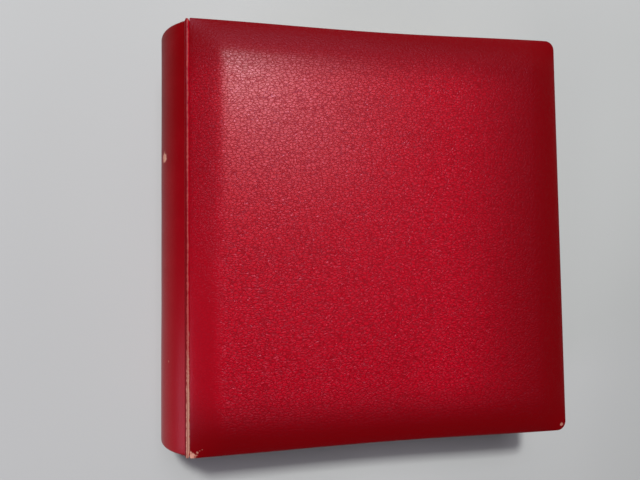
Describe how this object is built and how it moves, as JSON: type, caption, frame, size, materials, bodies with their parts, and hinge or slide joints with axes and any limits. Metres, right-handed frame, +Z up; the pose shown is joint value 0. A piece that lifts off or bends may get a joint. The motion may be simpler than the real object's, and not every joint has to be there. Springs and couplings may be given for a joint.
{
  "type": "stamp album",
  "caption": "Thick stamp album with padded leatherette covers and a rounded back, its linen-hinged leaves held on binding screws in a steel channel.",
  "frame": {"origin": "middle of the footprint, on the surface that the album lies on", "axes": "+X from the spine to the fore-edge, +Y to the head, +Z up through the closed front cover"},
  "size_m": [0.3216, 0.32, 0.0912],
  "materials": {
    "cover_leatherette": "grained",
    "spine_leatherette": "smooth",
    "worn_leatherette": "worn",
    "foam": "matte",
    "greyboard": "matte",
    "lining_paper": "matte",
    "channel_steel": "satin",
    "rivet_steel": "satin",
    "washer_steel": "satin",
    "bush_brass": "satin",
    "screw_brass": "polished",
    "guard_card": "matte",
    "leaf_paper": "matte"
  },
  "bodies": {
    "back_cover": {"back_skin": "cover_leatherette", "back_pad": "foam", "back_board": "greyboard", "back_lining": "lining_paper"},
    "spine": {"spine_skin": "spine_leatherette", "spine_shell": "greyboard", "spine_board": "greyboard", "back_joint": "worn_leatherette", "front_joint": "worn_leatherette", "binding_channel": "channel_steel", "channel_rivets": "rivet_steel", "screw_washers": "washer_steel", "screw_bushes": "bush_brass", "guard_strips": "guard_card"},
    "front_cover": {"front_skin": "cover_leatherette", "front_pad": "foam", "front_board": "greyboard", "front_lining": "lining_paper"},
    "binding_screw_1": {"binding_screw_1": "screw_brass"},
    "binding_screw_2": {"binding_screw_2": "screw_brass"},
    "binding_screw_3": {"binding_screw_3": "screw_brass"},
    "binding_screw_4": {"binding_screw_4": "screw_brass"},
    "leaf_01": {"leaf_01": "leaf_paper"},
    "leaf_02": {"leaf_02": "leaf_paper"},
    "leaf_03": {"leaf_03": "leaf_paper"},
    "leaf_04": {"leaf_04": "leaf_paper"},
    "leaf_05": {"leaf_05": "leaf_paper"},
    "leaf_06": {"leaf_06": "leaf_paper"},
    "leaf_07": {"leaf_07": "leaf_paper"},
    "leaf_08": {"leaf_08": "leaf_paper"},
    "leaf_09": {"leaf_09": "leaf_paper"},
    "leaf_10": {"leaf_10": "leaf_paper"},
    "leaf_11": {"leaf_11": "leaf_paper"},
    "leaf_12": {"leaf_12": "leaf_paper"},
    "leaf_13": {"leaf_13": "leaf_paper"},
    "leaf_14": {"leaf_14": "leaf_paper"},
    "leaf_15": {"leaf_15": "leaf_paper"},
    "leaf_16": {"leaf_16": "leaf_paper"},
    "leaf_17": {"leaf_17": "leaf_paper"},
    "leaf_18": {"leaf_18": "leaf_paper"},
    "leaf_19": {"leaf_19": "leaf_paper"},
    "leaf_20": {"leaf_20": "leaf_paper"},
    "leaf_21": {"leaf_21": "leaf_paper"},
    "leaf_22": {"leaf_22": "leaf_paper"},
    "leaf_23": {"leaf_23": "leaf_paper"},
    "leaf_24": {"leaf_24": "leaf_paper"},
    "leaf_25": {"leaf_25": "leaf_paper"},
    "leaf_26": {"leaf_26": "leaf_paper"},
    "leaf_27": {"leaf_27": "leaf_paper"},
    "leaf_28": {"leaf_28": "leaf_paper"},
    "leaf_29": {"leaf_29": "leaf_paper"},
    "leaf_30": {"leaf_30": "leaf_paper"},
    "leaf_31": {"leaf_31": "leaf_paper"},
    "leaf_32": {"leaf_32": "leaf_paper"}
  },
  "joints": [
    {"name": "spine_roll", "type": "hinge", "parent": "back_cover", "child": "spine", "pos_m": [-0.13625, 0, 0.0071], "axis": [0, -1, 0], "range_deg": [0, 55]},
    {"name": "front_cover_swing", "type": "hinge", "parent": "spine", "child": "front_cover", "pos_m": [-0.13625, 0, 0.0841], "axis": [0, -1, 0], "range_deg": [0, 130]},
    {"name": "binding_screw_1_turn", "type": "hinge", "parent": "spine", "child": "binding_screw_1", "pos_m": [-0.12325, -0.126, 0.0794], "axis": [0, 0, 1], "continuous": true},
    {"name": "binding_screw_2_turn", "type": "hinge", "parent": "spine", "child": "binding_screw_2", "pos_m": [-0.12325, -0.042, 0.0794], "axis": [0, 0, 1], "continuous": true},
    {"name": "binding_screw_3_turn", "type": "hinge", "parent": "spine", "child": "binding_screw_3", "pos_m": [-0.12325, 0.042, 0.0794], "axis": [0, 0, 1], "continuous": true},
    {"name": "binding_screw_4_turn", "type": "hinge", "parent": "spine", "child": "binding_screw_4", "pos_m": [-0.12325, 0.126, 0.0794], "axis": [0, 0, 1], "continuous": true},
    {"name": "leaf_01_turn", "type": "hinge", "parent": "spine", "child": "leaf_01", "pos_m": [-0.10775, 0, 0.0146], "axis": [0, -1, 0], "range_deg": [0, 1.55]},
    {"name": "leaf_02_turn", "type": "hinge", "parent": "spine", "child": "leaf_02", "pos_m": [-0.10775, 0, 0.0166], "axis": [0, -1, 0], "range_deg": [0, 3.05]},
    {"name": "leaf_03_turn", "type": "hinge", "parent": "spine", "child": "leaf_03", "pos_m": [-0.10775, 0, 0.0186], "axis": [0, -1, 0], "range_deg": [0, 4.55]},
    {"name": "leaf_04_turn", "type": "hinge", "parent": "spine", "child": "leaf_04", "pos_m": [-0.10775, 0, 0.0206], "axis": [0, -1, 0], "range_deg": [0, 6.05]},
    {"name": "leaf_05_turn", "type": "hinge", "parent": "spine", "child": "leaf_05", "pos_m": [-0.10775, 0, 0.0226], "axis": [0, -1, 0], "range_deg": [0, 7.55]},
    {"name": "leaf_06_turn", "type": "hinge", "parent": "spine", "child": "leaf_06", "pos_m": [-0.10775, 0, 0.0246], "axis": [0, -1, 0], "range_deg": [0, 9.05]},
    {"name": "leaf_07_turn", "type": "hinge", "parent": "spine", "child": "leaf_07", "pos_m": [-0.10775, 0, 0.0266], "axis": [0, -1, 0], "range_deg": [0, 10.55]},
    {"name": "leaf_08_turn", "type": "hinge", "parent": "spine", "child": "leaf_08", "pos_m": [-0.10775, 0, 0.0286], "axis": [0, -1, 0], "range_deg": [0, 12.05]},
    {"name": "leaf_09_turn", "type": "hinge", "parent": "spine", "child": "leaf_09", "pos_m": [-0.10775, 0, 0.0306], "axis": [0, -1, 0], "range_deg": [0, 13.55]},
    {"name": "leaf_10_turn", "type": "hinge", "parent": "spine", "child": "leaf_10", "pos_m": [-0.10775, 0, 0.0326], "axis": [0, -1, 0], "range_deg": [0, 15.05]},
    {"name": "leaf_11_turn", "type": "hinge", "parent": "spine", "child": "leaf_11", "pos_m": [-0.10775, 0, 0.0346], "axis": [0, -1, 0], "range_deg": [0, 16.55]},
    {"name": "leaf_12_turn", "type": "hinge", "parent": "spine", "child": "leaf_12", "pos_m": [-0.10775, 0, 0.0366], "axis": [0, -1, 0], "range_deg": [0, 18.05]},
    {"name": "leaf_13_turn", "type": "hinge", "parent": "spine", "child": "leaf_13", "pos_m": [-0.10775, 0, 0.0386], "axis": [0, -1, 0], "range_deg": [0, 19.55]},
    {"name": "leaf_14_turn", "type": "hinge", "parent": "spine", "child": "leaf_14", "pos_m": [-0.10775, 0, 0.0406], "axis": [0, -1, 0], "range_deg": [0, 21.05]},
    {"name": "leaf_15_turn", "type": "hinge", "parent": "spine", "child": "leaf_15", "pos_m": [-0.10775, 0, 0.0426], "axis": [0, -1, 0], "range_deg": [0, 22.55]},
    {"name": "leaf_16_turn", "type": "hinge", "parent": "spine", "child": "leaf_16", "pos_m": [-0.10775, 0, 0.0446], "axis": [0, -1, 0], "range_deg": [0, 24.05]},
    {"name": "leaf_17_turn", "type": "hinge", "parent": "spine", "child": "leaf_17", "pos_m": [-0.10775, 0, 0.0466], "axis": [0, -1, 0], "range_deg": [0, 25.55]},
    {"name": "leaf_18_turn", "type": "hinge", "parent": "spine", "child": "leaf_18", "pos_m": [-0.10775, 0, 0.0486], "axis": [0, -1, 0], "range_deg": [0, 27.05]},
    {"name": "leaf_19_turn", "type": "hinge", "parent": "spine", "child": "leaf_19", "pos_m": [-0.10775, 0, 0.0506], "axis": [0, -1, 0], "range_deg": [0, 28.55]},
    {"name": "leaf_20_turn", "type": "hinge", "parent": "spine", "child": "leaf_20", "pos_m": [-0.10775, 0, 0.0526], "axis": [0, -1, 0], "range_deg": [0, 30.05]},
    {"name": "leaf_21_turn", "type": "hinge", "parent": "spine", "child": "leaf_21", "pos_m": [-0.10775, 0, 0.0546], "axis": [0, -1, 0], "range_deg": [0, 31.55]},
    {"name": "leaf_22_turn", "type": "hinge", "parent": "spine", "child": "leaf_22", "pos_m": [-0.10775, 0, 0.0566], "axis": [0, -1, 0], "range_deg": [0, 33.05]},
    {"name": "leaf_23_turn", "type": "hinge", "parent": "spine", "child": "leaf_23", "pos_m": [-0.10775, 0, 0.0586], "axis": [0, -1, 0], "range_deg": [0, 34.55]},
    {"name": "leaf_24_turn", "type": "hinge", "parent": "spine", "child": "leaf_24", "pos_m": [-0.10775, 0, 0.0606], "axis": [0, -1, 0], "range_deg": [0, 36.05]},
    {"name": "leaf_25_turn", "type": "hinge", "parent": "spine", "child": "leaf_25", "pos_m": [-0.10775, 0, 0.0626], "axis": [0, -1, 0], "range_deg": [0, 37.55]},
    {"name": "leaf_26_turn", "type": "hinge", "parent": "spine", "child": "leaf_26", "pos_m": [-0.10775, 0, 0.0646], "axis": [0, -1, 0], "range_deg": [0, 39.05]},
    {"name": "leaf_27_turn", "type": "hinge", "parent": "spine", "child": "leaf_27", "pos_m": [-0.10775, 0, 0.0666], "axis": [0, -1, 0], "range_deg": [0, 40.55]},
    {"name": "leaf_28_turn", "type": "hinge", "parent": "spine", "child": "leaf_28", "pos_m": [-0.10775, 0, 0.0686], "axis": [0, -1, 0], "range_deg": [0, 42.05]},
    {"name": "leaf_29_turn", "type": "hinge", "parent": "spine", "child": "leaf_29", "pos_m": [-0.10775, 0, 0.0706], "axis": [0, -1, 0], "range_deg": [0, 43.55]},
    {"name": "leaf_30_turn", "type": "hinge", "parent": "spine", "child": "leaf_30", "pos_m": [-0.10775, 0, 0.0726], "axis": [0, -1, 0], "range_deg": [0, 45.05]},
    {"name": "leaf_31_turn", "type": "hinge", "parent": "spine", "child": "leaf_31", "pos_m": [-0.10775, 0, 0.0746], "axis": [0, -1, 0], "range_deg": [0, 46.55]},
    {"name": "leaf_32_turn", "type": "hinge", "parent": "spine", "child": "leaf_32", "pos_m": [-0.10775, 0, 0.0766], "axis": [0, -1, 0], "range_deg": [0, 48.05]}
  ],
  "couplings": [
    {"joint": "leaf_01_turn", "follows": "front_cover_swing", "ratio": 0.01154},
    {"joint": "leaf_02_turn", "follows": "front_cover_swing", "ratio": 0.02308},
    {"joint": "leaf_03_turn", "follows": "front_cover_swing", "ratio": 0.03462},
    {"joint": "leaf_04_turn", "follows": "front_cover_swing", "ratio": 0.04615},
    {"joint": "leaf_05_turn", "follows": "front_cover_swing", "ratio": 0.05769},
    {"joint": "leaf_06_turn", "follows": "front_cover_swing", "ratio": 0.06923},
    {"joint": "leaf_07_turn", "follows": "front_cover_swing", "ratio": 0.08077},
    {"joint": "leaf_08_turn", "follows": "front_cover_swing", "ratio": 0.09231},
    {"joint": "leaf_09_turn", "follows": "front_cover_swing", "ratio": 0.10385},
    {"joint": "leaf_10_turn", "follows": "front_cover_swing", "ratio": 0.11538},
    {"joint": "leaf_11_turn", "follows": "front_cover_swing", "ratio": 0.12692},
    {"joint": "leaf_12_turn", "follows": "front_cover_swing", "ratio": 0.13846},
    {"joint": "leaf_13_turn", "follows": "front_cover_swing", "ratio": 0.15},
    {"joint": "leaf_14_turn", "follows": "front_cover_swing", "ratio": 0.16154},
    {"joint": "leaf_15_turn", "follows": "front_cover_swing", "ratio": 0.17308},
    {"joint": "leaf_16_turn", "follows": "front_cover_swing", "ratio": 0.18462},
    {"joint": "leaf_17_turn", "follows": "front_cover_swing", "ratio": 0.19615},
    {"joint": "leaf_18_turn", "follows": "front_cover_swing", "ratio": 0.20769},
    {"joint": "leaf_19_turn", "follows": "front_cover_swing", "ratio": 0.21923},
    {"joint": "leaf_20_turn", "follows": "front_cover_swing", "ratio": 0.23077},
    {"joint": "leaf_21_turn", "follows": "front_cover_swing", "ratio": 0.24231},
    {"joint": "leaf_22_turn", "follows": "front_cover_swing", "ratio": 0.25385},
    {"joint": "leaf_23_turn", "follows": "front_cover_swing", "ratio": 0.26538},
    {"joint": "leaf_24_turn", "follows": "front_cover_swing", "ratio": 0.27692},
    {"joint": "leaf_25_turn", "follows": "front_cover_swing", "ratio": 0.28846},
    {"joint": "leaf_26_turn", "follows": "front_cover_swing", "ratio": 0.3},
    {"joint": "leaf_27_turn", "follows": "front_cover_swing", "ratio": 0.31154},
    {"joint": "leaf_28_turn", "follows": "front_cover_swing", "ratio": 0.32308},
    {"joint": "leaf_29_turn", "follows": "front_cover_swing", "ratio": 0.33462},
    {"joint": "leaf_30_turn", "follows": "front_cover_swing", "ratio": 0.34615},
    {"joint": "leaf_31_turn", "follows": "front_cover_swing", "ratio": 0.35769},
    {"joint": "leaf_32_turn", "follows": "front_cover_swing", "ratio": 0.36923}
  ]
}
